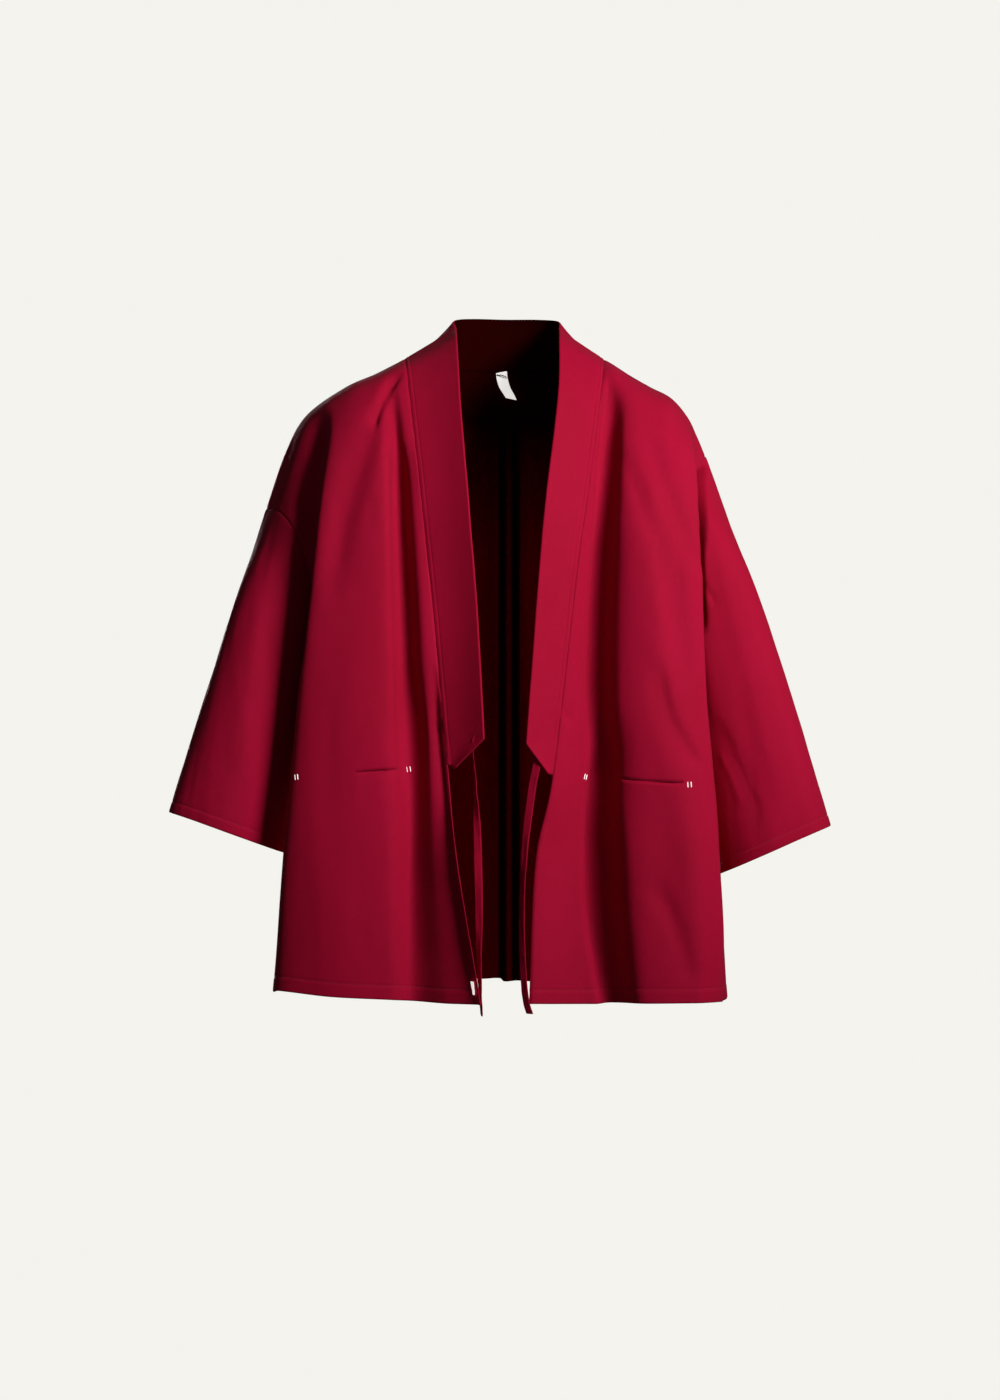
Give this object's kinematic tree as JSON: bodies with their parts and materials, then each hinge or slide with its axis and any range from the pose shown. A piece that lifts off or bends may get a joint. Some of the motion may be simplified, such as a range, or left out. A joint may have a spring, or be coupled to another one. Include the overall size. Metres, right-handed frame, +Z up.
{
  "type": "haori",
  "caption": "Short open-front kimono jacket, worn shape: flat collar band down both fronts, wide three-quarter sleeves, slit pockets and two hanging ties.",
  "frame": {"origin": "the wearer mount: middle of the neck, level with the shoulder seams at the collar", "axes": "+Z up, -Y towards the front of the garment, +X towards the viewer's right when the front is seen"},
  "size_m": [0.7234, 0.2462, 0.7608],
  "materials": {
    "cloth": "matt plain weave",
    "trim": "matt white tape"
  },
  "bodies": {
    "root": {"back": "cloth", "front_left": "cloth", "front_right": "cloth", "sleeve_left": "cloth", "sleeve_right": "cloth", "collar": "cloth", "tie_left": "cloth", "tie_right": "cloth", "pocket_left": "cloth", "pocket_right": "cloth", "tie_tab": "trim", "neck_label": "trim"}
  },
  "joints": []
}
